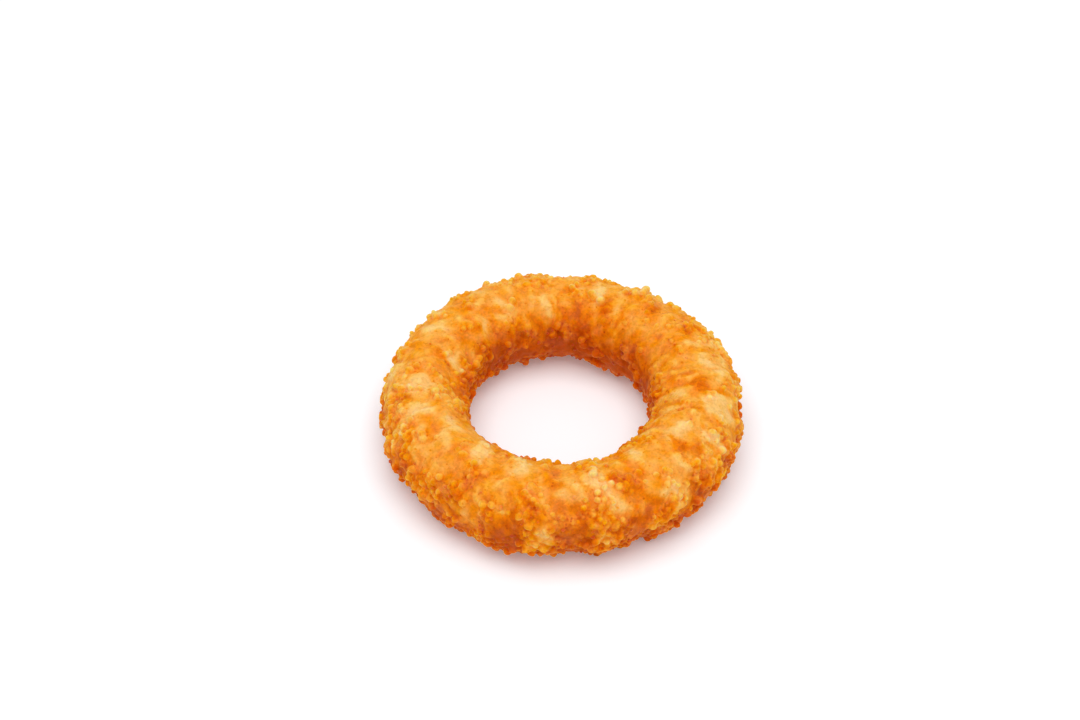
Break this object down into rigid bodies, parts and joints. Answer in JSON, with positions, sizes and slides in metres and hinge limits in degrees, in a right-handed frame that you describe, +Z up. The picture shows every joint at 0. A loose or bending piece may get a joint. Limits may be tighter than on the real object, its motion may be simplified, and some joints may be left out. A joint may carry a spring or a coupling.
{
  "type": "onion ring",
  "caption": "Deep-fried onion ring in a golden crumb crust: a thick, uneven ring with an open hole, lying flat with its crumbs standing out all round.",
  "frame": {"origin": "on the surface the ring lies on, below the middle of its outline", "axes": "+Z up through the hole, out of the side that shows; +X and +Y lie across the ring, with -Y towards the viewer"},
  "size_m": [0.0662, 0.0652, 0.0164],
  "materials": {
    "fried_crumb": "rough golden crumb crust with a slight sheen of frying oil"
  },
  "bodies": {
    "root": {"onion_ring": "fried_crumb"}
  },
  "joints": []
}
